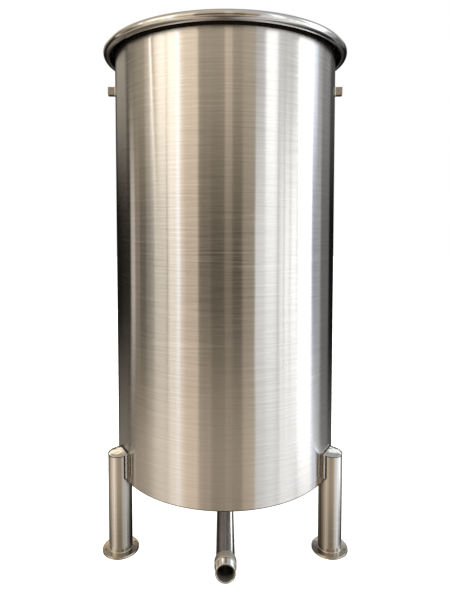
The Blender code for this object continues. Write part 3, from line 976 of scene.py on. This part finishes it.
def make_world():
    """A plain warm room with its soft lights, white where the camera looks straight at it."""
    world = bpy.data.worlds.new("studio")
    bpy.context.scene.world = world
    world.use_nodes = True
    tree = world.node_tree
    tree.nodes.clear()
    place = add_node(tree, "TexCoord")
    axes = add_node(tree, "SeparateXYZ", None, {0: place.outputs["Generated"]})
    sine = axes.outputs["Z"]
    back = add_node(tree, "Math", {"operation": "MULTIPLY"}, {0: axes.outputs["Y"], 1: -1.0})
    turn = add_node(tree, "Math", {"operation": "ARCTAN2"},
                    {0: axes.outputs["X"], 1: back.outputs[0]})
    degrees = add_node(tree, "Math", {"operation": "DEGREES"}, {0: turn.outputs[0]}).outputs[0]
    room = room_colour(tree, sine, degrees)
    lights = soft_lights(tree, sine, degrees)
    tops = add_node(tree, "MapRange", SMOOTH,
                    {"Value": sine, "From Min": TOPS[0], "From Max": TOPS[1],
                     "To Min": 1.0, "To Max": 0.0})
    total = add_node(tree, "VectorMath", {"operation": "MULTIPLY_ADD"},
                     {0: lights, 1: tops.outputs["Result"], 2: room})
    shaded = add_node(tree, "VectorMath", {"operation": "SCALE"},
                      {0: total.outputs[0], "Scale": floor_shade(tree, sine, degrees)})
    folds = add_node(tree, "TexNoise", {"noise_dimensions": "1D"},
                     {"W": degrees, "Scale": FOLDS_PER_DEGREE, "Detail": 2.0})
    folded = add_node(tree, "MapRange", None,
                      {"Value": folds.outputs["Fac"], **NOISE_SPAN,
                       "To Min": FOLD_LOW, "To Max": FOLD_HIGH})
    lit = add_node(tree, "Background", None,
                   {"Color": shaded.outputs[0], "Strength": folded.outputs["Result"]})
    plain = add_node(tree, "Background", None, {"Color": (1, 1, 1, 1), "Strength": 1.0})
    path = add_node(tree, "LightPath")
    mix = add_node(tree, "MixShader", None,
                   {0: path.outputs["Is Camera Ray"], 1: lit.outputs[0], 2: plain.outputs[0]})
    add_node(tree, "OutputWorld", None, {"Surface": mix.outputs[0]})


def make_floor():
    """A plain pale floor, which the polished metal doesn't mirror."""
    material = new_material("pale_studio_floor")
    finish_material(material, {"Base Color": linear("#f4f4f4"), "Roughness": 0.9,
                               "Emission Color": (1, 1, 1, 1), "Emission Strength": 1.0})
    bm = bmesh.new()
    bmesh.ops.create_grid(bm, x_segments=1, y_segments=1, size=FLOOR_REACH)
    bmesh.ops.translate(bm, verts=bm.verts, vec=(0, 0, -FLOOR_DROP))
    floor = add_mesh("floor", bm)
    floor.data.materials.append(material)
    floor.visible_glossy = False


def make_cards():
    """Small soft cards out of the shell's sight, which draw bright lines along the outlet."""
    for name, place, target, width, height, watts in CARDS:
        light = bpy.data.lights.new(name, "AREA")
        light.shape = "RECTANGLE"
        light.size = width
        light.size_y = height
        light.spread = CARD_SPREAD
        light.energy = watts
        card = add_object(name, light)
        card.location = place
        card.rotation_euler = (Vector(target) - Vector(place)).to_track_quat("-Z", "Y").to_euler()
        card.visible_camera = False


def make_top_light():
    """A broad soft light overhead for the floor and the metal's hazes. No metal mirrors it."""
    light = bpy.data.lights.new("overhead", "AREA")
    light.shape = "SQUARE"
    light.size = TOP_LIGHT_SIZE
    light.energy = TOP_LIGHT_WATTS
    overhead = add_object("overhead", light)
    overhead.location = (0, 0, TOP_LIGHT_HEIGHT)
    overhead.visible_glossy = False


def make_camera():
    """The camera at the photograph's viewing angle."""
    camera = bpy.data.cameras.new("camera")
    camera.sensor_width = SENSOR
    camera.lens = FOCAL_PIXELS / PHOTO_HEIGHT * SENSOR
    camera.shift_x = ((PHOTO_WIDTH - 1) / 2 - HORIZON_CENTRE[0]) / PHOTO_HEIGHT
    camera.shift_y = (HORIZON_CENTRE[1] - (PHOTO_HEIGHT - 1) / 2) / PHOTO_HEIGHT
    camera_object = add_object("camera", camera)
    camera_object.location = CAMERA_PLACE
    camera_object.rotation_euler = (math.pi / 2 - CAMERA_PITCH, 0, 0)
    bpy.context.scene.camera = camera_object


def build():
    """Make the whole picture."""
    bpy.context.scene.view_settings.view_transform = "Standard"
    looks = {"sheet": brushed_sheet("brushed_stainless_sheet", 1.0),
             "hazy": brushed_sheet("hazy_stainless_sheet", 0.91),
             "rim": polished_rim(), "bend": polished_bend(),
             "nipple": outlet_steel("polished_stainless_nipple", "#f0eeea", 0.09, 0.45),
             "collar": outlet_steel("satin_stainless_collar", "#dbd6cc", 0.28, 0.30),
             "upright": polished_tube("polished_stainless_upright_tube", (0, 0, 1), LEG_PAINTED_SHADE_REACH, 0.10),
             "level": polished_tube("polished_stainless_level_tube", (0, 1, 0), NO_PAINTED_SHADE_REACH, 0.16),
             "mirror": mirror_plate(),
             "satin": satin_plate("satin_stainless_bar", "#d8d4ce", 0.33),
             "flange": satin_plate("satin_stainless_flange", "#cac2b5", 0.14),
             "weld": weld_metal("bright_stainless_weld", "#f0eeeb", "#cbc3b8"),
             # The dark tint look is heat tint by the welds, and also painted shade under the rim and round
             # the caps.
             "tint": weld_metal("heat_tint_and_painted_shade", "#3b332b", "#1f1a16")}
    make_camera()
    make_world()
    make_floor()
    make_top_light()
    make_cards()
    make_wall(looks["sheet"])
    make_rim(looks["rim"])
    make_bottom(looks["hazy"])
    for side, azimuth in LEG_AZIMUTHS.items():
        make_leg(side, azimuth, looks)
    for side, sign in (("left", -1), ("right", 1)):
        make_lug(side, sign, looks)
    make_dark_rings(looks["tint"])
    make_outlet(looks)


build()
